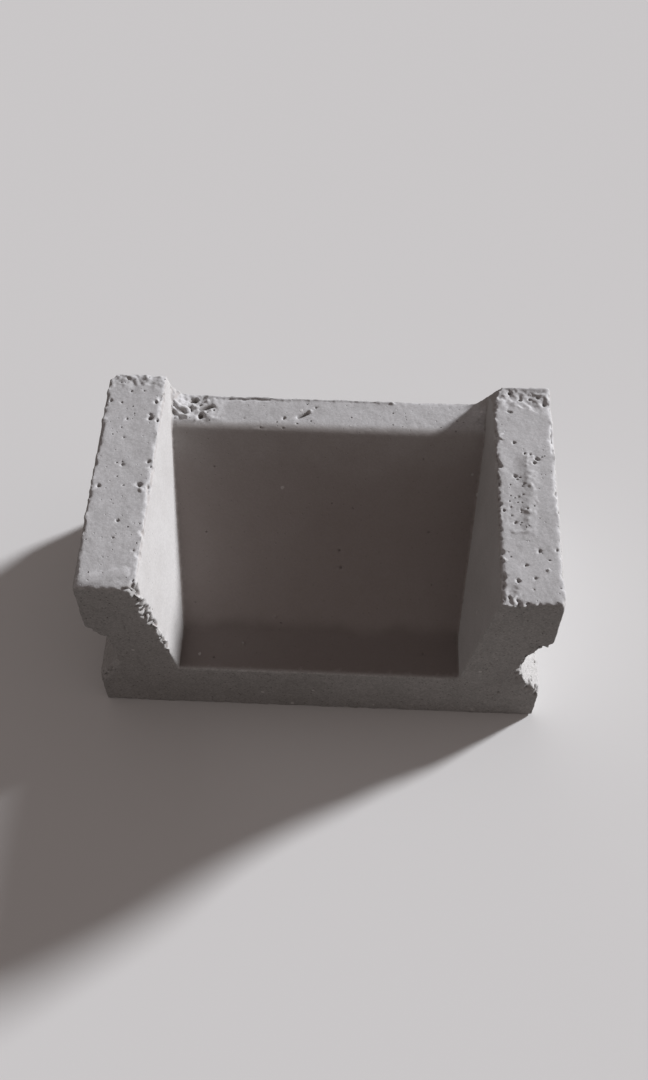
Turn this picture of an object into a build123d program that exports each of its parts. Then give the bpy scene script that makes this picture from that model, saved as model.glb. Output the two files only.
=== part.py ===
from build123d import *
from math import atan, tan
import os

# One cast concrete block for walls that let air through and keep rain out.
# Two full-height legs carry a slab that climbs from a low foot at the open end
# to a web just below the leg tops at the other end, so its section is a Z.
# Sizes are in millimetres. X runs along the wall, Y through it and Z up;
# the origin is the middle of the underside and the open end faces -Y.

block_length = 400
block_depth = 230
block_height = 200

# The recess above the slab, between the legs.
recess_top_width = 296
recess_floor_width = 250
recess_depth = 134
floor_strip_length = 40
ramp_foot_radius = 12

# The saddle is the low top of the web between the two leg tops.
saddle_drop = 27
saddle_length = 35
saddle_corner_radius = 22
crest_radius = 32
crest_flat = 2

# The hollow under the slab, open at the web end and at the underside.
hollow_foot_width = 280
hollow_ceiling_width = 244
hollow_height = 125
hollow_ceiling_length = 22
hollow_end_height = 20
foot_length = 55
hollow_bend_radius = 12
hollow_corner_radius = 5

# The shallow round groove along the outside of each leg.
groove_height = 86
groove_depth = 21
groove_middle = 90
groove_mouth_radius = 5

# How far the cutting shapes reach past the faces they cut.
overshoot = 20

open_face = -block_depth / 2
web_face = block_depth / 2
side_face = block_length / 2
cut_top = block_height + overshoot
cut_width = block_length + 2 * overshoot

# The recess walls lean outwards as they rise, so the former lifts out.
floor_level = block_height - recess_depth
saddle_level = block_height - saddle_drop
recess_lean = (recess_top_width - recess_floor_width) / 2 / recess_depth
recess_cut_half_width = recess_top_width / 2 + recess_lean * overshoot
saddle_half_width = recess_floor_width / 2 + recess_lean * (saddle_level - floor_level)

# The ramp climbs from the floor strip to the crest, where it rounds over. Its former
# runs level past the rounding by the crest_flat, and the saddle's former takes over.
ramp_foot = open_face + floor_strip_length
ramp_crest = web_face - saddle_length
ramp_rise = (saddle_level - floor_level) / (ramp_crest - ramp_foot)
crest_reach = crest_radius * tan(atan(ramp_rise) / 2)
saddle_start = ramp_crest + crest_reach + crest_flat
ramp_cut_end = saddle_start + (cut_top - saddle_level) / ramp_rise

with BuildPart() as recess:
    with BuildSketch(Plane.YZ):
        with BuildLine() as ramp_outline:
            Polyline(
                (open_face - overshoot, cut_top),
                (open_face - overshoot, floor_level),
                (ramp_foot, floor_level),
                (ramp_crest, saddle_level),
                (saddle_start, saddle_level),
                (ramp_cut_end, cut_top),
                close=True,
            )
            foot_bend = ramp_outline.vertices().sort_by_distance((ramp_foot, floor_level))[0]
            fillet(foot_bend, radius=ramp_foot_radius)
            crest_bend = ramp_outline.vertices().sort_by_distance((ramp_crest, saddle_level))[0]
            fillet(crest_bend, radius=crest_radius)
        make_face()
    extrude(amount=cut_width / 2, both=True)
    with BuildSketch(Plane.XZ):
        with BuildLine():
            Polyline(
                (-recess_cut_half_width, cut_top),
                (-recess_floor_width / 2, floor_level),
                (recess_floor_width / 2, floor_level),
                (recess_cut_half_width, cut_top),
                close=True,
            )
        make_face()
    extrude(amount=2 * block_depth, both=True, mode=Mode.INTERSECT)

with BuildPart() as saddle:
    with BuildSketch(Plane.XZ):
        with BuildLine() as saddle_outline:
            Polyline(
                (-recess_cut_half_width, cut_top),
                (-saddle_half_width, saddle_level),
                (saddle_half_width, saddle_level),
                (recess_cut_half_width, cut_top),
                close=True,
            )
            saddle_corners = saddle_outline.vertices().filter_by(lambda corner: corner.Y < block_height)
            fillet(saddle_corners, radius=saddle_corner_radius)
        make_face()
    extrude(amount=-(web_face + overshoot))

# The hollow is cut by a second former, drawn out downwards.
hollow_lean = (hollow_foot_width - hollow_ceiling_width) / 2 / hollow_height
hollow_cut_half_width = hollow_foot_width / 2 + hollow_lean * overshoot
hollow_end = open_face + foot_length
ceiling_bend = web_face - hollow_ceiling_length

with BuildPart() as hollow:
    with BuildSketch(Plane.YZ):
        with BuildLine() as hollow_outline:
            Polyline(
                (web_face + overshoot, -overshoot),
                (web_face + overshoot, hollow_height),
                (ceiling_bend, hollow_height),
                (hollow_end, hollow_end_height),
                (hollow_end, -overshoot),
                close=True,
            )
            upper_bend = hollow_outline.vertices().sort_by_distance((ceiling_bend, hollow_height))[0]
            fillet(upper_bend, radius=hollow_bend_radius)
            lower_bend = hollow_outline.vertices().sort_by_distance((hollow_end, hollow_end_height))[0]
            fillet(lower_bend, radius=hollow_bend_radius)
        make_face()
    extrude(amount=cut_width / 2, both=True)
    with BuildSketch(Plane.XZ):
        with BuildLine():
            Polyline(
                (-hollow_ceiling_width / 2, hollow_height),
                (-hollow_cut_half_width, -overshoot),
                (hollow_cut_half_width, -overshoot),
                (hollow_ceiling_width / 2, hollow_height),
                close=True,
            )
        make_face()
    extrude(amount=2 * block_depth, both=True, mode=Mode.INTERSECT)
    hollow_walls = hollow.faces().filter_by(lambda face: abs(face.normal_at().X) > 0.9)
    hollow_corners = hollow_walls.edges().filter_by(
        lambda edge: edge.center().Z > 1 - overshoot and edge.center().Y < web_face + overshoot - 1
    )
    fillet(hollow_corners, radius=hollow_corner_radius)

# A groove is the part of a round bar that reaches groove_depth into the leg.
groove_radius = (groove_height**2 / 4 + groove_depth**2) / (2 * groove_depth)
groove_axis = side_face - groove_depth + groove_radius
groove_top = groove_middle + groove_height / 2
groove_bottom = groove_middle - groove_height / 2

with BuildPart() as block:
    with BuildSketch():
        Rectangle(block_length, block_depth)
    extrude(amount=block_height)
    with BuildSketch(Plane.XZ):
        with Locations((-groove_axis, groove_middle), (groove_axis, groove_middle)):
            Circle(groove_radius)
    extrude(amount=block_depth, both=True, mode=Mode.SUBTRACT)
    groove_mouths = block.edges().filter_by(
        lambda edge: edge.length > block_depth - 1 and groove_bottom - 1 < edge.center().Z < groove_top + 1
    )
    fillet(groove_mouths, radius=groove_mouth_radius)
    add(recess.part, mode=Mode.SUBTRACT)
    add(saddle.part, mode=Mode.SUBTRACT)
    add(hollow.part, mode=Mode.SUBTRACT)

os.makedirs("parts", exist_ok=True)
block.part.label = "concrete_block"
export_step(block.part, "parts/concrete_block.step")

box = block.part.bounding_box()
print("solids", len(block.part.solids()), "faces", len(block.part.faces()))
print("size", round(box.size.X, 1), round(box.size.Y, 1), round(box.size.Z, 1))
print("volume in litres", round(block.part.volume / 1e6, 2))
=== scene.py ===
# %% [markdown]
# # A cast concrete vent block
#
# The real object is one grey casting: two legs, a slab that climbs between them,
# and a hollow underneath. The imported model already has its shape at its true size.
# What it lacks is what makes concrete look cast: torn edges, blowholes, lumps where
# the wet top was struck off, and the fine grain of sand.
#
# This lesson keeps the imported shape, works that relief into a copy of its mesh, and
# then gives the copy a material built from small node groups.

import math
import random

import bmesh
import bpy
import numpy as np
from mathutils import Matrix, Vector, noise


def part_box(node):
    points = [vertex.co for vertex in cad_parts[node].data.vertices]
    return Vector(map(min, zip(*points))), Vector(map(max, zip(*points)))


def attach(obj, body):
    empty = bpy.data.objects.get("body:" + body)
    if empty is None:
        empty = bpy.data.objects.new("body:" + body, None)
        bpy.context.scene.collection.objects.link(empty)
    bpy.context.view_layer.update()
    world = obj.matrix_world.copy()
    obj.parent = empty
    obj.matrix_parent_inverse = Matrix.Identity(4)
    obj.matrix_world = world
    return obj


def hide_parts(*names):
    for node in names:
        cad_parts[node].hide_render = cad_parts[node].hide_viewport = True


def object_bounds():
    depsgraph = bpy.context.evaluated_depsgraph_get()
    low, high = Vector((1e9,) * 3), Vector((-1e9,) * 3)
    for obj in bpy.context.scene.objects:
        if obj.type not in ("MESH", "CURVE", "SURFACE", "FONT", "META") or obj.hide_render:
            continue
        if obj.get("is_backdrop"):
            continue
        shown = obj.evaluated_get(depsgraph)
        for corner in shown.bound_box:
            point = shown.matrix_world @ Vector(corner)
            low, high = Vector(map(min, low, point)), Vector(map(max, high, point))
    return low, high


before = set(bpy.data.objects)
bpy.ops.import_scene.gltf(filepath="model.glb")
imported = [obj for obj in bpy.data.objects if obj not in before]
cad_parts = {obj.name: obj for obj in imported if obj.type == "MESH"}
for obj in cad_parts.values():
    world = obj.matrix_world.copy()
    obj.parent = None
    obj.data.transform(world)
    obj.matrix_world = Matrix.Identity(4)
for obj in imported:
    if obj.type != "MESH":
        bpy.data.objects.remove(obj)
cad_low, cad_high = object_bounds()
block_low, block_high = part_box("concrete_block")
print("block from", tuple(round(v, 3) for v in block_low), "to", tuple(round(v, 3) for v in block_high))

# %% [markdown]
# ## The camera
#
# The photographer stood in front of the open end and looked down on the block. The
# place of the camera was worked out from the corners of the block in the picture.
# The block was low in that picture, so a camera with the same place and the same lean
# is turned to the middle of the block, and its lens is longer, so that the block
# fills the frame. Nothing about the perspective changes when a camera only turns.

# %% Place the camera
camera_place = Vector((0.028, -0.624, 1.049))
camera_lens = 41.0
sensor_width = 36
photo_pitch = math.radians(40.30)
photo_yaw = math.radians(-4.71)
photo_roll = math.radians(1.95)
aim_lift = 0.01

photo_forward = Vector((
    math.sin(photo_yaw) * math.cos(photo_pitch),
    math.cos(photo_yaw) * math.cos(photo_pitch),
    -math.sin(photo_pitch),
))
level_right = Vector((math.cos(photo_yaw), -math.sin(photo_yaw), 0))
photo_right = Matrix.Rotation(photo_roll, 3, photo_forward) @ level_right

aim = (Vector(block_low) + Vector(block_high)) / 2
aim.z += aim_lift
backward = (camera_place - aim).normalized()
right = (photo_right - photo_right.dot(backward) * backward).normalized()
upward = backward.cross(right)
camera_turn = Matrix((right, upward, backward)).transposed().to_4x4()

camera_data = bpy.data.cameras.new("camera")
camera_data.lens = camera_lens
camera_data.sensor_width = sensor_width
camera = bpy.data.objects.new("camera", camera_data)
camera.matrix_world = Matrix.Translation(camera_place) @ camera_turn
bpy.context.scene.collection.objects.link(camera)
bpy.context.scene.camera = camera
print("camera looks down by", round(math.degrees(math.asin(backward.z)), 1), "degrees")

# %% [markdown]
# ## A mesh that can hold relief
#
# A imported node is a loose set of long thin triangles, which is fine for flat faces
# but has no points in the middle of them to push about. So a copy is made, its
# doubled points are merged into one closed skin, and a voxel remesh lays an even
# net of small squares over it. The node itself is left alone, because other tools
# read it.
#
# The net has to be finer than the smallest hole that is worked in, so its squares
# are about a millimetre across.

# %% Copy the casting and lay an even net over it
net_size = 0.00115
doubled_within = 0.00002
shortest_edge = 0.00001

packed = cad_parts["concrete_block"]
skin = bmesh.new()
skin.from_mesh(packed.data)
bmesh.ops.remove_doubles(skin, verts=skin.verts, dist=doubled_within)
bmesh.ops.dissolve_degenerate(skin, edges=skin.edges, dist=shortest_edge)
open_edges = sum(1 for edge in skin.edges if not edge.is_manifold)
print("merged skin has", len(skin.verts), "points and", open_edges, "open edges")

casting_mesh = bpy.data.meshes.new("cast_block")
skin.to_mesh(casting_mesh)
skin.free()
casting = bpy.data.objects.new("cast_block", casting_mesh)
bpy.context.scene.collection.objects.link(casting)


def apply_modifier(obj, kind, **values):
    """Adds one modifier, bakes its result into a new mesh and gives that to the object."""
    modifier = obj.modifiers.new(kind.lower(), kind)
    for name, value in values.items():
        setattr(modifier, name, value)
    shape = obj.evaluated_get(bpy.context.evaluated_depsgraph_get())
    result = bpy.data.meshes.new_from_object(shape)
    result.name = obj.name
    obj.modifiers.clear()
    obj.data = result


apply_modifier(casting, "REMESH", mode="VOXEL", voxel_size=net_size, adaptivity=0)
print("even net has", len(casting.data.vertices), "points")

# %% [markdown]
# ## Reading the net into arrays
#
# Moving so many points one at a time is slow, so their places are read into one
# array. Three more arrays go with it: the direction that the skin faces at each
# point, the pairs of neighbours, and where the point was before anything moved it.
# Lengths in the sculpting steps are in millimetres, like the block's drawing.

# %% Read the points, the neighbours and the facing
mm_per_metre = 1000


def read_points(mesh, field, width):
    """Reads one number or vector for every vertex of a mesh as an array."""
    values = np.empty(len(mesh.vertices) * width, dtype=np.float64)
    mesh.vertices.foreach_get(field, values)
    return values.reshape(-1, width)


def read_pairs(mesh):
    """Reads the two vertex numbers of every edge."""
    pairs = np.empty(len(mesh.edges) * 2, dtype=np.int64)
    mesh.edges.foreach_get("vertices", pairs)
    return pairs.reshape(-1, 2)


def softened(places, pairs, rounds):
    """Each round moves every point halfway to the middle of its neighbours."""
    count = len(places)
    neighbours = np.bincount(pairs.ravel(), minlength=count)
    for _ in range(rounds):
        middle = np.empty_like(places)
        for axis in range(places.shape[1]):
            forth = np.bincount(pairs[:, 0], places[pairs[:, 1], axis], count)
            back = np.bincount(pairs[:, 1], places[pairs[:, 0], axis], count)
            middle[:, axis] = (forth + back) / neighbours
        places = (places + middle) / 2
    return places


def ramp(low, high, value):
    """0 at low, 1 at high, level past them, and a smooth climb between them."""
    t = np.clip((value - low) / (high - low), 0, 1)
    return t * t * (3 - 2 * t)


points = read_points(casting.data, "co", 3) * mm_per_metre
pairs = read_pairs(casting.data)
drawn = points.copy()
facing = softened(read_points(casting.data, "normal", 3), pairs, 2)
facing /= np.linalg.norm(facing, axis=1)[:, None]
x, y, z = drawn.T
edge_lengths = np.linalg.norm(points[pairs[:, 0]] - points[pairs[:, 1]], axis=1)
print("net edge is", round(float(edge_lengths.mean()), 2), "mm")

# %% [markdown]
# ## Noise with a size
#
# Every rough thing here is made of soft noise. The helper takes the size of the
# lumps in millimetres, so that `rough(13, seed=2)` reads as "lumps about 13 mm
# across". The seed moves the noise to another place, so that no two layers match.

# %% Make the noise helper
seed_shift = Vector((7.31, 3.17, 5.57))
octave_fade = 0.9
octave_step = 2.0
spots = [Vector(place) for place in drawn]


def rough(size, seed, octaves=1):
    """Soft noise from about -1 to 1 with lumps of this size in millimetres."""
    shift = seed_shift * seed
    scale = 1 / size
    if octaves == 1:
        return np.array([noise.noise(spot * scale + shift) for spot in spots])
    return np.array([
        noise.fractal(spot * scale + shift, octave_fade, octave_step, octaves)
        for spot in spots
    ])


crumbly = rough(3.4, seed=6)
ragged = rough(5, seed=1, octaves=2)
torn = rough(13, seed=2, octaves=2)
swell = rough(55, seed=3)
print("noise runs from", round(float(ragged.min()), 2), "to", round(float(ragged.max()), 2))

# %% [markdown]
# ## Three kinds of surface
#
# A casting remembers what each face touched. The tops of the legs and of the web
# were struck off by hand and are lumpy. The slab and the inner walls were drawn off
# a smooth former, and are nearly sleek. The outside faces come from the mould walls
# and are open and sandy. Each point gets a share of the three kinds, which decides
# how much relief it takes.

# %% Tell struck, formed and moulded faces apart
half_length = round(block_high[0] * mm_per_metre)
half_depth = round(block_high[1] * mm_per_metre)
leg_top = round(block_high[2] * mm_per_metre)
saddle_drop = 27
saddle_length = 35
saddle_top = leg_top - saddle_drop
crest_depth = half_depth - saddle_length
former_edge = 160

is_up = ramp(0.75, 0.95, facing[:, 2])
on_leg_tops = ramp(leg_top - 6, leg_top - 2, z)
on_web_top = ramp(saddle_top - 4, saddle_top - 1.5, z)
on_web_top *= ramp(crest_depth - 2, crest_depth + 6, y)
on_web_top *= ramp(saddle_top + 5, saddle_top + 3, z)
struck = is_up * np.maximum(on_leg_tops, on_web_top)

formed = ramp(former_edge + 6, former_edge, np.abs(x))
formed *= ramp(half_depth - 0.5, half_depth - 3, np.abs(y))
formed *= ramp(0.5, 3, z)
formed *= 1 - struck
formed *= ramp(leg_top - 0.5, leg_top - 3, z)

moulded = np.clip(1 - struck - formed, 0, 1)
print("struck", int(struck.sum()), "formed", int(formed.sum()), "moulded", int(moulded.sum()))

# %% [markdown]
# ## A tighter crest
#
# The slab meets the top of the web in a rounded crest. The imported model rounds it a
# little more broadly than the real block, where the light stops in a narrow band.
# Both roundings touch the same two flat faces, so they differ by less than a
# millimetre. The height of each is worked out for every point, and the difference is
# added to the points on the crest.

# %% Tighten the crest
packed_rounding = 32
real_rounding = 17
strip_top = 66
slab_foot = -75
slab_half_width = 143
slab_slope = math.atan2(saddle_top - strip_top, crest_depth - slab_foot)


def crest_height(radius):
    """Height of the slab and the web top at each point's depth, with this rounding."""
    reach = radius * math.tan(slab_slope / 2)
    arc_start = crest_depth - reach * math.cos(slab_slope)
    before_end = np.clip(crest_depth + reach - y, 0, radius)
    arc = saddle_top - radius + np.sqrt(radius**2 - before_end**2)
    slab = saddle_top - (crest_depth - y) * math.tan(slab_slope)
    return np.where(y > arc_start, arc, slab)


on_crest = ramp(0.5, 0.75, facing[:, 2]) * ramp(slab_half_width, slab_half_width - 6, np.abs(x))
on_crest *= ramp(crest_depth - 20, crest_depth - 15, y) * ramp(saddle_top + 8, saddle_top + 4, z)
crest_lift = on_crest * (crest_height(real_rounding) - crest_height(packed_rounding))
points[:, 2] += crest_lift
print("the crest rises by up to", round(float(crest_lift.max()), 2), "mm")

# %% [markdown]
# ## Torn edges
#
# Concrete can't hold a sharp edge. The trick for wear is to soften a copy of the
# whole shape: on flat faces the copy hardly moves, and along an outside edge it
# sinks. Going part of the way to that copy rounds the edge, going past it breaks the
# edge away, and going the other way raises a thin burr. Noise decides which of the
# three happens, so the edge wanders in and out as it does on the block. The right
# leg's inner top edge runs straighter than the others and only crumbles finely.
# Inside corners are kept crisp, as the former left them.

# %% Wear the outside edges
softening_rounds = 24
burr_share = -0.45
break_share = 1.9
inner_edge = 148

sunk = drawn - softened(drawn, pairs, softening_rounds)
stand_out = np.einsum("ij,ij->i", sunk, facing)
outer_edge = ramp(0.05, 0.5, stand_out)

near_top = ramp(leg_top - 18, leg_top - 2, z)
wear = 0.45 + 0.6 * torn + 0.4 * ragged
wear += near_top * (0.15 + 0.25 * ragged + 0.6 * torn)

right_inner_edge = near_top * ramp(inner_edge - 10, inner_edge - 5, x)
right_inner_edge *= ramp(inner_edge + 12, inner_edge + 6, x)
right_inner_edge *= ramp(half_depth - 6, half_depth - 14, y)
wear += right_inner_edge * (0.6 * crumbly - 0.8 * torn)

wear = np.clip(wear, burr_share, break_share)
points -= sunk * (wear * outer_edge)[:, None]
print("an outside edge sinks by up to", round(float((stand_out * wear * outer_edge).max()), 1), "mm")

# %% [markdown]
# ## Relief of the faces
#
# The struck tops get lumps of three sizes. The moulded faces only get hollows, since
# nothing can stand out past the wall of a mould. The formed faces just swell a
# little, because a former is smooth but never quite straight.

# %% Work the face relief in
lumps = rough(9, seed=4, octaves=3)
sand = rough(2.6, seed=5)

lift = struck * (0.40 * swell + 0.20 * lumps + 0.08 * sand)
lift += formed * (0.30 * swell + 0.06 * lumps)
lift -= moulded * (0.10 + 0.24 * np.clip(lumps, 0, 1) + 0.08 * np.abs(sand))
points += facing * lift[:, None]
print("relief of", round(float(lift.min()), 2), "to", round(float(lift.max()), 2), "mm")

# %% [markdown]
# ## Tools for placed marks
#
# Some marks are plain to see in the photograph, and they go where it shows them.
# Three small tools make them all. A dab sinks a pit or lifts a crumb, a stroke does
# the same along a line, and a chisel takes a corner off along a plane. Each has a
# ragged rim, because a clean round hole looks drilled. One more helper sinks a whole
# list of pits, which holds the place, the radius and the depth of each.

# %% Make the dab, the stroke and the chisel
def push(chosen, shape, lift, way=None):
    """Moves the chosen points by a share of the lift, along their facing or one given way."""
    direction = facing[chosen] if way is None else np.array(way, dtype=float)
    points[chosen] += direction * (shape * lift)[:, None]


def dab(centre, radius, lift):
    """Sinks (below 0) or lifts (above 0) the skin round one place."""
    away = np.linalg.norm(drawn - centre, axis=1)
    chosen = np.flatnonzero(away < radius * 1.8)
    reach = away[chosen] / radius * (1 + 0.3 * ragged[chosen] + 0.7 * crumbly[chosen])
    push(chosen, np.clip(1 - reach**2, 0, 1), lift)


def stroke(path, width, lift, steep=2.0, fray=0.35, way=None):
    """Sinks or lifts the skin along a line through the places of the path."""
    nearest = np.full(len(drawn), np.inf)
    for start, end in zip(path[:-1], path[1:]):
        start = np.array(start, dtype=float)
        run = np.array(end, dtype=float) - start
        along = np.clip((drawn - start) @ run / (run @ run), 0, 1)
        away = np.linalg.norm(drawn - start - along[:, None] * run, axis=1)
        nearest = np.minimum(nearest, away)
    chosen = np.flatnonzero(nearest < width)
    reach = nearest[chosen] / (width / 2) * (1 + fray * ragged[chosen])
    push(chosen, np.clip(1 - reach**steep, 0, 1), lift, way)


def chisel(centre, outward, radius):
    """Flattens what stands past a plane through the centre, as where a corner broke off."""
    bite = 0.6
    outward = np.array(outward, dtype=float)
    outward /= np.linalg.norm(outward)
    chosen = np.flatnonzero(np.linalg.norm(drawn - centre, axis=1) < radius)
    past = (points[chosen] - centre) @ outward - bite * (torn[chosen] + ragged[chosen])
    points[chosen] -= outward * np.clip(past, 0, None)[:, None]


def sink_pits(pits, level):
    """Sinks every pit of a list into the top at this level."""
    for pit_x, pit_y, radius, depth in pits:
        dab((pit_x, pit_y, level), radius, -depth)


# %% [markdown]
# ## The left leg top
#
# This top is the calmer one. It has a rough far end with its outer corner gone, two
# deep holes side by side, a scatter of small ones with one crumb among them, and a
# low smooth lip along the near edge where the trowel stopped.

# %% Mark the left leg top
left_pits = [
    (-178, 94, 1.4, 1.6), (-157, 64, 2.6, 4.2), (-150.5, 62, 1.9, 3.6), (-154, 82, 1.5, 2.2),
    (-195, 82, 1.5, 1.8), (-185, 81, 1.3, 1.5), (-178, 62, 1.3, 1.7), (-181, 52, 1.0, 1.1),
    (-175, 11, 1.8, 1.1), (-153, 15, 2.0, 2.0), (-192, -12, 1.7, 1.9), (-157, -10, 2.2, 3.0),
    (-171, -48, 1.3, 1.1), (-154, -77, 1.4, 1.3), (-173, -70, 1.0, 0.8),
]
sink_pits(left_pits, leg_top)
dab((-155, -15, leg_top), 2.4, 1.2)

lost_corner = (-196, 111, leg_top - 2)
chisel(lost_corner, (-0.75, 0.65, 0.25), 17)
trowel_lip = [(-190, -106, leg_top), (-175, -104, leg_top), (-160, -99, leg_top)]
stroke(trowel_lip, 13, 0.9, fray=0.2)

far_end = ramp(92, 112, y) * ramp(-inner_edge, -152, x) * on_leg_tops
points[:, 2] += far_end * (1.3 * ragged + 0.9 * lumps)
print("left leg top has", len(left_pits), "placed pits")

# %% [markdown]
# ## The right leg top
#
# This top is rougher. Along its far edge runs a porous trough with a raised rim
# behind it, and its inner far corner broke off. A long low ridge of smeared mortar
# lies down the middle, with the surface a little lower and more open beside it, and
# the outer edge has a notch. The near inner corner is broken too, with a crumbling
# knob, a gap and a hanging tab.

# %% Mark the right leg top
right_pits = [
    (164, 50, 1.6, 2.2), (173, 38, 1.5, 2.2), (178, 37, 1.1, 1.6), (183, 33, 1.8, 2.4),
    (188, 35, 1.1, 1.5), (164, 13, 1.8, 2.2), (168, 12, 1.3, 1.8), (170, 3, 1.2, 1.6),
    (170, -6, 1.1, 1.6), (173, -21, 1.4, 1.8), (167, -22, 1.1, 1.5), (153, -23, 1.9, 2.4),
    (162, -35, 1.4, 1.8), (181, -63, 1.7, 2.4), (195, -62, 1.3, 1.7), (176, -90, 1.1, 1.4),
    (162, -93, 1.8, 2.8), (155, -108, 1.2, 1.6), (163, 107, 2.3, 3.6), (188, 102, 1.8, 2.8),
    (172, 99, 1.9, 2.8), (180, 100, 1.5, 2.4), (193, 95, 1.6, 2.2),
]
sink_pits(right_pits, leg_top)

trough_line = [(154, 108, leg_top), (167, 104, leg_top), (178, 99, leg_top), (196, 93, leg_top)]
stroke(trough_line, 19, -1.1, steep=2.5)
stroke([(162, 113, leg_top), (199, 112, leg_top)], 6, 0.7, way=(0, 0, 1))
in_trough = ramp(84, 96, y) * ramp(112, 107, y) * ramp(146, 150, x) * on_leg_tops
points[:, 2] += in_trough * (0.9 * ragged + 0.6 * lumps)

ridge_line = [
    (174, 36, leg_top), (175, 18, leg_top), (177, 0, leg_top),
    (175, -21, leg_top), (173, -42, leg_top),
]
stroke(ridge_line, 14, 0.6, steep=1.4, fray=0.7)
stroke([(163, 22, leg_top), (164, -38, leg_top)], 20, -0.3, fray=0.9)
stroke([(160, -45, leg_top), (173, -44, leg_top)], 4, 0.5)
dab((187, -81, leg_top), 1.7, 1.4)
dab((199, -4, leg_top), 3.6, -3.6)

far_corner = (154, 111, leg_top - 3)
chisel(far_corner, (-0.7, 0.35, 0.6), 17)

near_corner = ramp(-94, -104, y) * ramp(168, 160, x) * ramp(146, 149, x)
near_corner *= ramp(leg_top - 8, leg_top - 3, z)
points[:, 2] += near_corner * (1.1 * ragged + 0.8 * lumps - 0.5)
dab((148.5, -90, leg_top), 3.4, -3.6)
dab((149.5, -97, leg_top), 2.6, -2.4)

knob = [(148, -half_depth, leg_top), (158, -half_depth, leg_top)]
stroke(knob, 7, 3.0, fray=0.8, way=(0, -0.8, 0.4))
hanging_tab = [(165, -half_depth, leg_top + 1), (165, -half_depth, leg_top - 5)]
stroke(hanging_tab, 5, 2.6, fray=0.8, way=(0, -0.9, 0.2))
tab_ends = [(161, 2.0, -2.6), (168.5, 2.6, -3.6), (175, 1.8, 1.8), (178, 2.0, -1.6)]
for tab_x, radius, reach in tab_ends:
    dab((tab_x, -half_depth, leg_top), radius, reach)
print("right leg top has", len(right_pits), "placed pits")

# %% [markdown]
# ## The low web between the legs
#
# The left end of the web carries a clump of mortar with deep dark holes, crumbs and
# two curved folds, as if it was pressed in with a finger. Further on there are a few
# small pits, a slit with a crumb at its end, and a thin cracked lip along the back
# edge.

# %% Mark the top of the web
web = saddle_top
clump = ramp(-94, -108, x) * ramp(-150, -142, x) * ramp(crest_depth, crest_depth + 8, y)
clump *= ramp(web - 4, web, z)
clump *= ramp(web + 11, web + 7, z)
points[:, 2] += clump * (0.9 + 0.9 * ragged + 0.8 * lumps)
dab((-138, 107, web + 3), 8, -1.6)

web_pits = [
    (-123, 108, 2.8, 7.5), (-117, 90, 2.6, 6.5), (-106, 97, 1.3, 1.8), (-103, 106, 1.2, 1.5),
    (-77, 89, 1.7, 2.4), (-84, 92, 1.0, 1.2), (-52, 104, 0.9, 1.0),
]
sink_pits(web_pits, web + 1)

clump_crumbs = [
    (-121, 99, 2.4, 2.0), (-114, 94, 2.0, 1.7), (-121, 85, 2.2, 1.8), (-113, 107, 2.0, 1.4),
    (-104, 101, 1.6, 1.0),
]
for crumb_x, crumb_y, radius, height in clump_crumbs:
    dab((crumb_x, crumb_y, web + 1), radius, height)

stroke([(-118, 97, web + 1), (-108, 101, web + 1)], 3.6, -5.5)
stroke([(-127, 109, web + 1), (-126, 96, web + 1), (-127, 84, web + 1)], 2.6, -2.6)
stroke([(-144, 103, web + 3), (-137, 98, web + 1), (-130, 97, web + 1)], 4.5, 1.9)
stroke([(-143, 95, web + 3), (-136, 90, web + 1), (-129, 88, web + 1)], 4.5, 1.9)
stroke([(-142, 99, web + 2), (-131, 92, web)], 3.0, -1.6)

slit = [(-28, 92, web), (-19, 97, web)]
stroke(slit, 3.2, -3.0)
dab((-16.5, 99.5, web), 2.0, 1.6)

back_lip = [(-112, 113, web), (-71, 114, web), (-35, 113, web), (10, 114, web), (58, 113, web)]
left_crack = [(-95, 110.4, web), (-87, 111.3, web), (-78, 110.8, web)]
right_crack = [(-80, 110.9, web), (-70, 111.7, web), (-61, 111.0, web), (-54, 111.5, web)]
stroke(back_lip, 3.6, 0.8, fray=0.9, way=(0, 0, 1))
stroke(left_crack, 1.5, -0.6, fray=0.9)
stroke(right_crack, 1.8, -0.8, fray=0.9)
dab((59, 112, web), 2.6, 1.2)
print("the web top runs at", web, "mm")

# %% [markdown]
# ## Broken arrises and crumbs
#
# The inner edge of the left leg is badly torn down from its top, with black holes
# and loose crumbs. The right leg's inner top edge is nicked all along, and the ends
# of the side grooves are ragged. These are many small marks on a line, so they are
# scattered with a seeded chance, which gives the same block every time.

# %% Scatter marks along lines
chance = random.Random(11)
smallest_share = 0.45


def scatter(line, count, radius, lift, spread):
    """Dabs marks of mixed size along a line, each a little off it but on the skin."""
    start = Vector(line[0])
    end = Vector(line[1])
    for _ in range(count):
        place = start.lerp(end, chance.random())
        place += Vector([chance.uniform(-spread, spread) for _ in range(3)])
        nearest = drawn[np.argmin(np.linalg.norm(drawn - np.array(place), axis=1))]
        size = chance.uniform(smallest_share, 1.0)
        dab(nearest, radius * size, lift * size)


left_arris = ((-148, -half_depth, leg_top), (-131, -half_depth, 100))
left_near_edge = ((-160, -half_depth, leg_top), (-148, -half_depth, leg_top))
left_inner_line = ((-148, 100, leg_top), (-148, -110, leg_top))
left_outer_line = ((-half_length, 100, leg_top), (-half_length, -110, leg_top))
right_inner_line = ((148, 100, leg_top), (148, -85, leg_top))
right_outer_line = ((half_length, 110, leg_top), (half_length, -110, leg_top))
right_near_corner = ((149, -109, leg_top), (160, -110, leg_top))
right_ridge = ((176, 34, leg_top), (175, -42, leg_top))
beside_ridge = ((165, 30, leg_top), (166, -42, leg_top))
hollow_top = ((-121, half_depth, 125), (122, half_depth, 125))
hollow_left = ((-139, half_depth, 4), (-122, half_depth, 122))
hollow_right = ((139, half_depth, 4), (122, half_depth, 122))

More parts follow.
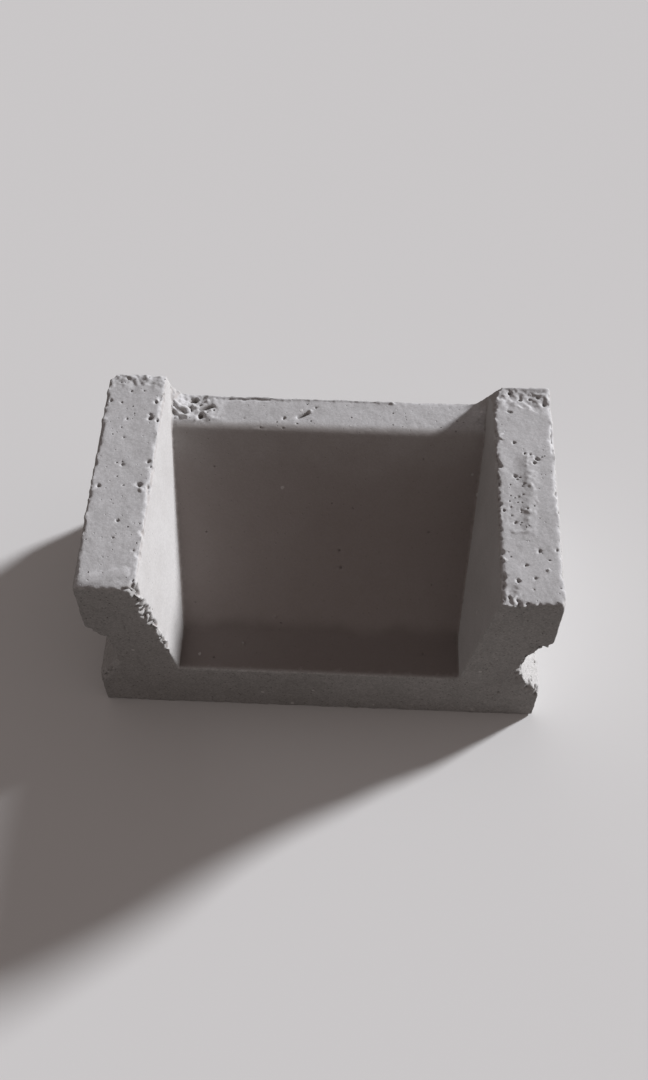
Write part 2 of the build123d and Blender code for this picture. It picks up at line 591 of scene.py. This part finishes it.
# Each row says the line, how many marks, their radius, their lift and how far they stray.
marks = [
    (left_arris, 20, 6.5, -5.0, 1.8),
    (left_arris, 30, 2.6, -3.0, 4.0),
    (left_arris, 34, 2.8, 2.4, 3.2),
    (left_near_edge, 10, 2.8, -2.0, 1.5),
    (right_inner_line, 4, 4.6, -1.5, 1.0),
    (right_inner_line, 30, 2.1, -2.2, 1.0),
    (right_inner_line, 10, 3.6, 0.8, 1.2),
    (right_near_corner, 14, 1.9, 1.3, 2.5),
    (right_near_corner, 10, 1.6, -1.7, 2.5),
    (right_ridge, 20, 3.2, 0.6, 3.5),
    (beside_ridge, 18, 1.2, -1.1, 8.0),
    (left_inner_line, 8, 4.5, -1.5, 1.0),
    (left_outer_line, 6, 3.6, -1.4, 1.0),
    (left_outer_line, 8, 2.0, -1.4, 1.0),
    (left_outer_line, 8, 4.0, 0.8, 1.0),
    (right_outer_line, 10, 4.0, -1.3, 1.0),
]
groove_arc = [(199, 46), (191, 54), (183, 70), (179, 90), (183, 110), (191, 126), (199, 134)]
for side in (-1, 1):
    for (low_x, low_z), (high_x, high_z) in zip(groove_arc[:-1], groove_arc[1:]):
        near_end = ((side * low_x, -half_depth, low_z), (side * high_x, -half_depth, high_z))
        web_end = ((side * low_x, half_depth, low_z), (side * high_x, half_depth, high_z))
        marks.append((near_end, 4, 5.0, -3.4, 1.5))
        marks.append((near_end, 2, 2.8, 1.3, 2.0))
        marks.append((web_end, 3, 4.0, -2.0, 1.5))
marks += [
    (hollow_top, 20, 3.0, -2.0, 1.2),
    (hollow_left, 10, 2.8, -1.8, 1.2),
    (hollow_right, 10, 2.8, -1.8, 1.2),
]
for row in marks:
    scatter(*row)

front_crumbs = [
    (153, 22, 2.8), (143, 6, 2.4), (91, 28, 2.2),
    (87, 12, 2.2), (42, 30, 1.8), (120, 14, 1.6),
]
for crumb_x, crumb_z, radius in front_crumbs:
    dab((crumb_x, -half_depth, crumb_z), radius, 1.3)
dab((-42, -62, 75), 1.8, 1.2)
dab((-70, -86, strip_top), 2.0, 1.2)
print("scattered", len(marks), "rows of marks")

# %% [markdown]
# ## Blowholes
#
# Air that can't leave a stiff mix ends as small round holes. They sit all over the
# outside, thick on the tops and thin elsewhere. A point of the net is picked by
# chance for each hole, and the kind of surface there decides if it stays.

# %% Sink the blowholes
hole_tries = 900
smallest_hole = 0.8
hole_range = 1.1
depth_per_radius = 1.3
stays_struck = 0.9
stays_moulded = 0.5
stays_formed = 0.06

holes_made = 0
for _ in range(hole_tries):
    index = chance.randrange(len(drawn))
    keep = chance.random()
    size = smallest_hole + hole_range * chance.random() ** 3
    share = stays_struck * struck[index] + stays_moulded * moulded[index] + stays_formed * formed[index]
    if keep < share:
        dab(drawn[index], size, -depth_per_radius * size)
        holes_made += 1
print("blowholes made", holes_made)

# %% [markdown]
# ## Dull crumbs
#
# Where a lifted crumb is steeper than the net can follow, single points stand up like
# thorns, and real crumbs are dull. Only points that stand out are pulled back towards
# their neighbours, so the pits keep their depth.

# %% Pull the thorns back
thorn_from = 0.12
thorn_full = 0.35
for _ in range(3):
    calmer = softened(points, pairs, 1)
    standing = np.einsum("ij,ij->i", points - calmer, facing)
    points += (calmer - points) * ramp(thorn_from, thorn_full, standing)[:, None]
print("the sharpest point left stands out by", round(float(standing.max()), 2), "mm")

# %% [markdown]
# ## Back to a mesh
#
# The block stands on its underside, so nothing may reach below the floor. The moved
# points then go back into the mesh. A flat face doesn't need a point every
# millimetre, so Decimate joins triangles where the shape is calm and keeps them
# where it is rough. That brings the casting under 200,000 triangles.

# %% Write the mesh back and thin it
triangle_goal = 190000
proud_limit = 1.5

points[:, 2] = np.maximum(points[:, 2], 0)
points[:, 0] = np.clip(points[:, 0], -half_length - proud_limit, half_length + proud_limit)
points[:, 1] = np.clip(points[:, 1], -half_depth - proud_limit, half_depth + proud_limit)
casting.data.vertices.foreach_set("co", (points / mm_per_metre).ravel())
casting.data.update()

triangles = sum(polygon.loop_total - 2 for polygon in casting.data.polygons)
kept_share = min(1, triangle_goal / triangles)
apply_modifier(casting, "DECIMATE", ratio=kept_share, use_collapse_triangulate=True)
print("thinned from", triangles, "to", len(casting.data.polygons), "triangles")

# %% [markdown]
# ## What the material needs to know
#
# Four facts about each point are stored on the mesh, where the material can read
# them by name: how far it stands out or lies back against its surroundings, how much
# it belongs to a formed face, to the slab among those, and to a struck one. They
# follow the surface, so they can't be had from its place alone. The thinned mesh has
# other points than the net had, so the kinds of surface are told apart once more.

# %% Store the surface facts on the mesh
sharp_angle = math.radians(48)


def store(mesh, name, values):
    """Writes one number a vertex into a named attribute."""
    layer = mesh.attributes.new(name, "FLOAT", "POINT")
    layer.data.foreach_set("value", np.asarray(values, dtype=np.float32))


final_points = read_points(casting.data, "co", 3) * mm_per_metre
final_pairs = read_pairs(casting.data)
final_facing = softened(read_points(casting.data, "normal", 3), final_pairs, 3)
final_facing /= np.linalg.norm(final_facing, axis=1)[:, None]
final_sunk = final_points - softened(final_points, final_pairs, 6)
relief = np.einsum("ij,ij->i", final_sunk, final_facing)

final_x, final_y, final_z = final_points.T
final_up = ramp(0.6, 0.9, final_facing[:, 2])
final_leg_tops = ramp(leg_top - 8, leg_top - 3, final_z)
final_web_top = ramp(web - 6, web - 2, final_z) * ramp(crest_depth - 4, crest_depth + 8, final_y)
final_struck = final_up * np.maximum(final_leg_tops, final_web_top)

final_formed = ramp(former_edge + 6, former_edge - 2, np.abs(final_x))
final_formed *= ramp(half_depth, half_depth - 5, np.abs(final_y))
final_formed *= ramp(0, 4, final_z)
final_formed *= 1 - final_struck
final_slab = final_formed * ramp(0.35, 0.6, final_facing[:, 2])

store(casting.data, "relief", np.clip(0.5 + relief / 2.0, 0, 1))
store(casting.data, "formed", final_formed)
store(casting.data, "slab", final_slab)
store(casting.data, "struck", final_struck)
casting.data.shade_smooth()
casting.data.set_sharp_from_angle(angle=sharp_angle)
print("relief attribute from", round(float(relief.min()), 2), "to", round(float(relief.max()), 2), "mm")

# %% [markdown]
# ## Node groups for the concrete
#
# Shader node groups are like functions: they are built once, take named inputs and
# give named outputs. The first helper makes an empty group with its sockets, one of
# which is always the Vector, the place that is asked about. The second joins or sets
# one input, and the others add a node or a few, so that the groups below stay short.

# %% Make the group helpers
def new_group(name, inputs, outputs):
    """Makes a node group. Returns its tree, the sockets it is given and those it gives."""
    tree = bpy.data.node_groups.new(name, "ShaderNodeTree")
    tree.interface.new_socket("Vector", in_out="INPUT", socket_type="NodeSocketVector")
    for socket_name, value in inputs.items():
        kind = "Float" if isinstance(value, float) else "Color"
        socket = tree.interface.new_socket(socket_name, in_out="INPUT", socket_type="NodeSocket" + kind)
        socket.default_value = value
    for socket_name, kind in outputs.items():
        tree.interface.new_socket(socket_name, in_out="OUTPUT", socket_type="NodeSocket" + kind)
    given = tree.nodes.new("NodeGroupInput")
    gives = tree.nodes.new("NodeGroupOutput")
    return tree, given.outputs, gives.inputs


def feed(tree, socket, value):
    """Joins another socket to this input, or sets it to a plain number or colour."""
    if isinstance(value, bpy.types.NodeSocket):
        tree.links.new(value, socket)
    else:
        socket.default_value = value


def math_step(tree, operation, first, second, clamp=False):
    """Adds one math node. Each of its two inputs is a socket or a plain number."""
    node = tree.nodes.new("ShaderNodeMath")
    node.operation = operation
    node.use_clamp = clamp
    feed(tree, node.inputs[0], first)
    feed(tree, node.inputs[1], second)
    return node.outputs[0]


def weighed_sum(tree, first, first_weight, second, second_weight):
    """Adds two values, each times its own weight."""
    first_part = math_step(tree, "MULTIPLY", first, first_weight)
    second_part = math_step(tree, "MULTIPLY", second, second_weight)
    return math_step(tree, "ADD", first_part, second_part)


def range_step(tree, value, low, high, new_low=0.0, new_high=1.0):
    """Maps a value from one range onto another, held inside it."""
    node = tree.nodes.new("ShaderNodeMapRange")
    node.interpolation_type = "SMOOTHSTEP"
    feed(tree, node.inputs["Value"], value)
    feed(tree, node.inputs["From Min"], low)
    feed(tree, node.inputs["From Max"], high)
    feed(tree, node.inputs["To Min"], new_low)
    feed(tree, node.inputs["To Max"], new_high)
    return node.outputs["Result"]


def noise_step(tree, vector, scale, detail=3.0, roughness=0.55):
    """Adds a noise texture and returns its value."""
    node = tree.nodes.new("ShaderNodeTexNoise")
    feed(tree, node.inputs["Vector"], vector)
    feed(tree, node.inputs["Scale"], scale)
    node.inputs["Detail"].default_value = detail
    node.inputs["Roughness"].default_value = roughness
    return node.outputs["Fac"]


def cell_step(tree, vector, scale):
    """Adds a cell texture. Returns the distance to a cell's middle and its chance numbers."""
    cells = tree.nodes.new("ShaderNodeTexVoronoi")
    feed(tree, cells.inputs["Vector"], vector)
    feed(tree, cells.inputs["Scale"], scale)
    numbers = tree.nodes.new("ShaderNodeSeparateColor")
    tree.links.new(cells.outputs["Color"], numbers.inputs["Color"])
    return cells.outputs["Distance"], numbers.outputs


def mix_step(tree, share, first, second, blend="MIX"):
    """Mixes two colours by a share."""
    node = tree.nodes.new("ShaderNodeMix")
    node.data_type = "RGBA"
    node.blend_type = blend
    first_colour, second_colour = [socket for socket in node.inputs if socket.type == "RGBA"]
    mixed_colour = [socket for socket in node.outputs if socket.type == "RGBA"][0]
    feed(tree, node.inputs[0], share)
    feed(tree, first_colour, first)
    feed(tree, second_colour, second)
    return mixed_colour


# %% [markdown]
# ### Sand grain
#
# Sand shows as a fine unevenness at about one millimetre, with single darker and
# lighter grains in it. One noise gives the unevenness and a cell texture the grains.
# The height goes to a bump node and the tone to the colour.

# %% Build the sand grain group
grain_group, grain_in, grain_out = new_group(
    "sand grain", {"Scale": 900.0}, {"Height": "Float", "Tone": "Float"}
)
grain_place = grain_in["Vector"]
grain_noise = noise_step(grain_group, grain_place, grain_in["Scale"], roughness=0.7)
grain_scale = math_step(grain_group, "MULTIPLY", grain_in["Scale"], 0.9)
grain_distance, grain_chance = cell_step(grain_group, grain_place, grain_scale)
grain_dome = math_step(grain_group, "SUBTRACT", 1.0, grain_distance, clamp=True)
grain_height = weighed_sum(grain_group, grain_dome, 0.5, grain_noise, 0.5)
grain_group.links.new(grain_height, grain_out["Height"])
grain_tone = weighed_sum(grain_group, grain_chance["Red"], 0.6, grain_noise, 0.4)
grain_group.links.new(grain_tone, grain_out["Tone"])
print("sand grain group has", len(grain_group.nodes), "nodes")

# %% [markdown]
# ### Small spots
#
# Holes and crumbs too small for the mesh are drawn by a cell texture: near the middle
# of a cell there is a spot, but only in the cells whose own chance number is low
# enough. Noise pushes the rim about. The radius and its soft rim are in cell widths.

# %% Build the spot group
spot_group, spot_in, spot_out = new_group(
    "small spots",
    {"Scale": 220.0, "Share": 0.2, "Radius": 0.25, "Soft Rim": 0.12},
    {"Spot": "Float"},
)
spot_place = spot_in["Vector"]
spot_noise = noise_step(spot_group, spot_place, 700.0, detail=1.0)
wobble_width = math_step(spot_group, "MULTIPLY", spot_in["Soft Rim"], 2.0)
spot_wobble = math_step(spot_group, "SUBTRACT", spot_noise, 0.5)
spot_wobble = math_step(spot_group, "MULTIPLY", spot_wobble, wobble_width)
spot_distance, spot_chance = cell_step(spot_group, spot_place, spot_in["Scale"])
spot_reach = math_step(spot_group, "ADD", spot_distance, spot_wobble)
spot_core = math_step(spot_group, "SUBTRACT", spot_in["Radius"], spot_in["Soft Rim"])
spot_shape = range_step(spot_group, spot_reach, spot_in["Radius"], spot_core)
spot_kept = math_step(spot_group, "LESS_THAN", spot_chance["Green"], spot_in["Share"])
spot_value = math_step(spot_group, "MULTIPLY", spot_shape, spot_kept)
spot_group.links.new(spot_value, spot_out["Spot"])
print("spot group has", len(spot_group.nodes), "nodes")

# %% [markdown]
# ### Cement paste
#
# Paste dries unevenly, so the grey drifts between a lighter and a darker tone over
# several centimetres, with cloudier patches inside. Two noises of different size make
# the drift, and the two tones are inputs of the group.

# %% Build the paste group
paste_group, paste_in, paste_out = new_group(
    "cement paste",
    {
        "Light": (0.5, 0.5, 0.5, 1),
        "Dark": (0.3, 0.3, 0.3, 1),
        "Patch Scale": 14.0,
        "Cloud Scale": 70.0,
    },
    {"Color": "Color"},
)
paste_place = paste_in["Vector"]
patches = noise_step(paste_group, paste_place, paste_in["Patch Scale"])
clouds = noise_step(paste_group, paste_place, paste_in["Cloud Scale"], detail=4.0, roughness=0.6)
patches = range_step(paste_group, patches, 0.3, 0.7)
clouds = range_step(paste_group, clouds, 0.3, 0.7)
paste_share = weighed_sum(paste_group, patches, 0.6, clouds, 0.4)
paste_colour = mix_step(paste_group, paste_share, paste_in["Dark"], paste_in["Light"])
paste_group.links.new(paste_colour, paste_out["Color"])
print("paste group has", len(paste_group.nodes), "nodes")

# %% [markdown]
# ### Rubbed edges and dusty, shaded hollows
#
# Where the surface stands out it is rubbed pale, and where it lies back it holds
# dark dust and painted shade. Both come from the relief stored on the mesh, broken
# up by noise so that no edge is painted evenly.

# %% Build the wear and shade group
wear_and_shade_group, wear_and_shade_in, wear_and_shade_out = new_group(
    "rubbed, dusty and shaded",
    {"Relief": 0.5, "Break Scale": 160.0},
    {"Rubbed": "Float", "Dust And Shade": "Float"},
)
wear_and_shade_noise = noise_step(wear_and_shade_group, wear_and_shade_in["Vector"], wear_and_shade_in["Break Scale"])
wear_and_shade_break = range_step(wear_and_shade_group, wear_and_shade_noise, 0.35, 0.65, 0.45, 1.0)
stands_out = range_step(wear_and_shade_group, wear_and_shade_in["Relief"], 0.58, 0.82)
lies_back = range_step(wear_and_shade_group, wear_and_shade_in["Relief"], 0.43, 0.17)
rubbed = math_step(wear_and_shade_group, "MULTIPLY", stands_out, wear_and_shade_break)
dust_and_shade_in_hollows = math_step(wear_and_shade_group, "MULTIPLY", lies_back, wear_and_shade_break)
wear_and_shade_group.links.new(rubbed, wear_and_shade_out["Rubbed"])
wear_and_shade_group.links.new(dust_and_shade_in_hollows, wear_and_shade_out["Dust And Shade"])
print("wear group has", len(wear_and_shade_group.nodes), "nodes")

# %% [markdown]
# ### Dust, painted shade and a darker strip on the slab
#
# The slab is painted browner and darker than the walls beside it, partly for dust
# and partly as painted shade, and the level strip at its foot is painted darker
# still, with a wandering upper border. The group cuts a region by depth and height,
# fades its border over a given length, and lets noise push that border about.

# %% Build the darker region group
dark_region_group, dark_region_in, dark_region_out = new_group(
    "darker region",
    {"Far Side": -0.07, "Top": 0.08, "Fade": 0.01, "Wander": 0.02},
    {"Damp": "Float"},
)
dark_region_place = dark_region_group.nodes.new("ShaderNodeSeparateXYZ")
dark_region_group.links.new(dark_region_in["Vector"], dark_region_place.inputs["Vector"])
dark_region_noise = noise_step(dark_region_group, dark_region_in["Vector"], 24.0)
dark_region_push = math_step(dark_region_group, "SUBTRACT", dark_region_noise, 0.5)
dark_region_push = math_step(dark_region_group, "MULTIPLY", dark_region_push, dark_region_in["Wander"])
depth_left = math_step(dark_region_group, "SUBTRACT", dark_region_in["Far Side"], dark_region_place.outputs["Y"])
depth_left = math_step(dark_region_group, "ADD", depth_left, dark_region_push)
fade_start = math_step(dark_region_group, "MULTIPLY", dark_region_in["Fade"], -1.0)
dark_region_depth = range_step(dark_region_group, depth_left, fade_start, dark_region_in["Fade"])
height_left = math_step(dark_region_group, "SUBTRACT", dark_region_in["Top"], dark_region_place.outputs["Z"])
dark_region_height = range_step(dark_region_group, height_left, fade_start, dark_region_in["Fade"])
dark_region_mask = math_step(dark_region_group, "MULTIPLY", dark_region_depth, dark_region_height)
dark_region_group.links.new(dark_region_mask, dark_region_out["Damp"])
print("darker region group has", len(dark_region_group.nodes), "nodes")

# %% [markdown]
# ## The concrete
#
# One material covers the whole casting, because it is one pour. The groups are used
# with values for the sandy outside, and the stored shares quieten the grain, most of
# all on the formed faces and less on the struck ones. Concrete reflects almost
# nothing, so its roughness stays high and only wavers a little.

# %% Build the concrete material
concrete = bpy.data.materials.new("concrete")
concrete.use_nodes = True
tree = concrete.node_tree
tree.nodes.clear()
surface = tree.nodes.new("ShaderNodeOutputMaterial")
shader = tree.nodes.new("ShaderNodeBsdfPrincipled")
shader.inputs["Specular IOR Level"].default_value = 0.3
tree.links.new(shader.outputs["BSDF"], surface.inputs["Surface"])
place = tree.nodes.new("ShaderNodeTexCoord").outputs["Object"]


def use_group(tree, group, vector, **values):
    """Places a node group, joins its Vector and sets the inputs that are named."""
    node = tree.nodes.new("ShaderNodeGroup")
    node.node_tree = group
    tree.links.new(vector, node.inputs["Vector"])
    for name, value in values.items():
        feed(tree, node.inputs[name.replace("_", " ")], value)
    return node


def read_attribute(tree, name):
    """Reads a number stored on the mesh."""
    node = tree.nodes.new("ShaderNodeAttribute")
    node.attribute_name = name
    return node.outputs["Fac"]


relief_value = read_attribute(tree, "relief")
formed_value = read_attribute(tree, "formed")
slab_value = read_attribute(tree, "slab")
struck_value = read_attribute(tree, "struck")

outer_paste = use_group(
    tree, paste_group, place,
    Light=(0.45, 0.44, 0.427, 1), Dark=(0.365, 0.355, 0.342, 1), Patch_Scale=12.0, Cloud_Scale=60.0,
)
formed_paste = use_group(
    tree, paste_group, place,
    Light=(0.445, 0.435, 0.425, 1), Dark=(0.385, 0.372, 0.36, 1), Patch_Scale=9.0, Cloud_Scale=40.0,
)
struck_paste = use_group(
    tree, paste_group, place,
    Light=(0.50, 0.495, 0.498, 1), Dark=(0.435, 0.43, 0.43, 1), Patch_Scale=22.0, Cloud_Scale=120.0,
)
body_colour = mix_step(tree, formed_value, outer_paste.outputs["Color"], formed_paste.outputs["Color"])
body_colour = mix_step(tree, struck_value, body_colour, struck_paste.outputs["Color"])

sand_grain = use_group(tree, grain_group, place, Scale=900.0)
coarse_grain = use_group(tree, grain_group, place, Scale=330.0)
pinholes = use_group(tree, spot_group, place, Scale=260.0, Share=0.22, Radius=0.22, Soft_Rim=0.12)
pale_crumbs = use_group(tree, spot_group, place, Scale=60.0, Share=0.10, Radius=0.12, Soft_Rim=0.05)
wear_and_shade_marks = use_group(tree, wear_and_shade_group, place, Relief=relief_value, Break_Scale=150.0)
# Brown dust and painted shade on the slab, thinner at its crest.
slab_dust_and_shade = use_group(tree, dark_region_group, place, Far_Side=0.085, Top=0.17, Fade=0.05, Wander=0.09)
# The level strip at the slab's foot is painted darker.
strip_darkening = use_group(tree, dark_region_group, place, Far_Side=-0.068, Top=0.077, Fade=0.009, Wander=0.02)
print("concrete has", len(tree.nodes), "nodes so far")

# %% [markdown]
# Colour comes first. Grains lighten and darken the paste. Brown dust and painted shade
# lie on the slab, thinner at its crest, and the level strip at its foot is painted
# darker still. Pinholes get painted shade, hollows get dust and painted shade, and
# rubbed edges lighten the colour. A few pale crumbs of dried cement stick to the
# outside, where they show best against the shaded front.

# %% Join the colour
# Brown of dust and painted shade on the slab.
slab_dust_shade_brown = (0.20, 0.16, 0.145, 1)
# Darker brown painted on the level strip at the slab's foot.
strip_dark_brown = (0.13, 0.108, 0.10, 1)
# Painted shade inside the pinholes.
pinhole_painted_shade = (0.10, 0.092, 0.083, 1)
crumb_pale = (0.72, 0.71, 0.69, 1)
# Dark of dust and painted shade in the hollows.
hollow_dust_shade_dark = (0.15, 0.138, 0.125, 1)
rubbed_pale = (0.50, 0.495, 0.485, 1)


def tint(tree, colour, share, strength, towards):
    """Mixes a colour towards another one by a share at this strength."""
    return mix_step(tree, math_step(tree, "MULTIPLY", share, strength), colour, towards)


quiet = weighed_sum(tree, formed_value, 0.65, struck_value, 0.45)
grainy = math_step(tree, "SUBTRACT", 1.0, quiet)
grain_shift = range_step(tree, sand_grain.outputs["Tone"], 0.15, 0.85, 0.84, 1.12)
coarse_shift = range_step(tree, coarse_grain.outputs["Tone"], 0.15, 0.85, 0.96, 1.03)
tone = math_step(tree, "MULTIPLY", grain_shift, coarse_shift)
tone_away = math_step(tree, "MULTIPLY", math_step(tree, "SUBTRACT", tone, 1.0), grainy)
tone = math_step(tree, "ADD", tone_away, 1.0)
tone_colour = tree.nodes.new("ShaderNodeCombineColor")
for channel in ("Red", "Green", "Blue"):
    tree.links.new(tone, tone_colour.inputs[channel])
colour = mix_step(tree, 1.0, body_colour, tone_colour.outputs["Color"], blend="MULTIPLY")

# The slab gets dust and painted shade, less of it at the crest.
slab_dust_shade_share = math_step(tree, "MULTIPLY", slab_dust_and_shade.outputs["Damp"], 0.45)
slab_dust_shade_share = math_step(tree, "ADD", slab_dust_shade_share, 0.25)
slab_dust_shade_share = math_step(tree, "MULTIPLY", slab_dust_shade_share, slab_value)
colour = mix_step(tree, slab_dust_shade_share, colour, slab_dust_shade_brown)
# The level strip at the slab's foot is painted darker still, with a wandering border.
strip_dark_share = math_step(tree, "MULTIPLY", strip_darkening.outputs["Damp"], slab_value)
colour = tint(tree, colour, strip_dark_share, 0.5, strip_dark_brown)

# Pinholes are darkened as painted shade inside them; the same share sinks them in the bump.
hole_share = math_step(tree, "MULTIPLY", pinholes.outputs["Spot"], grainy)
colour = tint(tree, colour, hole_share, 0.55, pinhole_painted_shade)
crumb_share = math_step(tree, "MULTIPLY", pale_crumbs.outputs["Spot"], grainy)
colour = tint(tree, colour, crumb_share, 0.85, crumb_pale)
# Hollows get dust and painted shade, and rubbed edges get paler.
colour = tint(tree, colour, wear_and_shade_marks.outputs["Dust And Shade"], 0.55, hollow_dust_shade_dark)
colour = tint(tree, colour, wear_and_shade_marks.outputs["Rubbed"], 0.5, rubbed_pale)
tree.links.new(colour, shader.inputs["Base Color"])

# %% [markdown]
# The bump adds the relief that the mesh is too coarse for. Its distance is the real
# depth, about a third of a millimetre, so it stays true at any scale.

# %% Join the bump and the roughness
bump_strength = 0.8
bump_depth = 0.00035
pinhole_depth = 1.5

height = math_step(tree, "MULTIPLY", sand_grain.outputs["Height"], 0.5)
height = math_step(tree, "ADD", height, coarse_grain.outputs["Height"])
height = math_step(tree, "MULTIPLY", height, grainy)
hole_height = math_step(tree, "MULTIPLY", hole_share, pinhole_depth)
height = math_step(tree, "SUBTRACT", height, hole_height)
height = math_step(tree, "ADD", height, crumb_share)
bump = tree.nodes.new("ShaderNodeBump")
bump.inputs["Strength"].default_value = bump_strength
bump.inputs["Distance"].default_value = bump_depth
tree.links.new(height, bump.inputs["Height"])
tree.links.new(bump.outputs["Normal"], shader.inputs["Normal"])

dullness = range_step(tree, coarse_grain.outputs["Tone"], 0.2, 0.8, 0.84, 0.97)
tree.links.new(dullness, shader.inputs["Roughness"])
print("concrete has", len(tree.nodes), "nodes")

# %% [markdown]
# ## Put the casting in place of the node
#
# The casting takes the material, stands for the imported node, and rides on the only
# body that this object has.

# %% Finish the piece
casting.data.materials.clear()
casting.data.materials.append(concrete)
packed.material_slots[0].material = concrete
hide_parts("concrete_block")
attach(casting, "root")

# %% [markdown]
# ## Floor and light
#
# Light falls on the block from far to the right and a little behind it, as through a
# doorway: the inside of the left leg is the brightest face, the tops are in middle
# light, and the slab and the front are in soft shade. One soft lamp does that, and an
# even world fills the shade. The floor looks pale to the camera, but the block gets
# only the light that a darker floor throws back, so the shade stays shade.

# %% Lay the floor
floor_reach = 60
floor_dark = (0.26, 0.25, 0.24)
floor_pale = (0.73, 0.725, 0.715)

floor_shape = bmesh.new()
bmesh.ops.create_grid(floor_shape, x_segments=1, y_segments=1, size=floor_reach)
floor_mesh = bpy.data.meshes.new("floor")
floor_shape.to_mesh(floor_mesh)
floor_shape.free()
floor = bpy.data.objects.new("floor", floor_mesh)
bpy.context.scene.collection.objects.link(floor)
floor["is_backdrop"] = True

floor_paint = bpy.data.materials.new("floor paint")
floor_paint.use_nodes = True
floor_tree = floor_paint.node_tree
floor_shader = floor_tree.nodes["Principled BSDF"]
floor_shader.inputs["Roughness"].default_value = 0.9
floor_shader.inputs["Specular IOR Level"].default_value = 0
ray = floor_tree.nodes.new("ShaderNodeLightPath").outputs
looked_at = math_step(floor_tree, "MAXIMUM", ray["Is Camera Ray"], ray["Is Glossy Ray"])
looked_at = math_step(floor_tree, "MAXIMUM", looked_at, ray["Is Transmission Ray"])
floor_colour = mix_step(floor_tree, looked_at, (*floor_dark, 1), (*floor_pale, 1))
floor_tree.links.new(floor_colour, floor_shader.inputs["Base Color"])
floor_mesh.materials.append(floor_paint)

# %% [markdown]
# Something far and bright lights everything from one side at one strength, which is
# what a sun lamp does. Its disc is opened to seven degrees, so that shadows get the
# soft rim of a few millimetres that the photograph shows.
#
# A matt face shows its own colour times the light on it, and the light is the lamp's
# strength times the sine of its height, over pi, plus the fill of the world. That
# gives the tone of the open floor. The camera sees the world in that tone, so no line
# shows where the floor ends.

# %% Hang the lamp and fill the shade
light_from = Vector((0.92, 0.58, 0.375)).normalized()
lamp_strength = 6.0
lamp_colour = (0.95, 0.96, 1.0)
lamp_disc = math.radians(7)
room_fill = (0.212, 0.186, 0.180)

lamp_data = bpy.data.lights.new("doorway", "SUN")
lamp_data.energy = lamp_strength
lamp_data.angle = lamp_disc
lamp_data.color = lamp_colour
lamp = bpy.data.objects.new("doorway", lamp_data)
lamp.rotation_mode = "QUATERNION"
lamp.rotation_quaternion = light_from.to_track_quat("Z", "Y")
bpy.context.scene.collection.objects.link(lamp)

lamp_share = lamp_strength * light_from.z / math.pi
open_floor = [
    pale * (lamp_share * lit + fill)
    for pale, lit, fill in zip(floor_pale, lamp_colour, room_fill)
]
print("the open floor has the tone", [round(channel, 2) for channel in open_floor])

world = bpy.data.worlds.new("room")
world.use_nodes = True
world_tree = world.node_tree
background = world_tree.nodes["Background"]
background.inputs["Strength"].default_value = 1.0
world_ray = world_tree.nodes.new("ShaderNodeLightPath").outputs
room_colour = mix_step(world_tree, world_ray["Is Camera Ray"], (*room_fill, 1), (*open_floor, 1))
world_tree.links.new(room_colour, background.inputs["Color"])
bpy.context.scene.world = world
bpy.context.scene.view_settings.view_transform = "Standard"

# %% [markdown]
# ## Compare the size
#
# The worked casting has to stay inside the size of the imported block, give or take
# the burrs. For each axis, how far the casting stands past the imported box is printed.

# %% Compare the boxes and finish
visual_low, visual_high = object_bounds()
for axis, name in enumerate("xyz"):
    over_low = (cad_low[axis] - visual_low[axis]) * mm_per_metre
    over_high = (visual_high[axis] - cad_high[axis]) * mm_per_metre
    print(name, "stands proud by", round(over_low, 2), "and", round(over_high, 2), "mm")
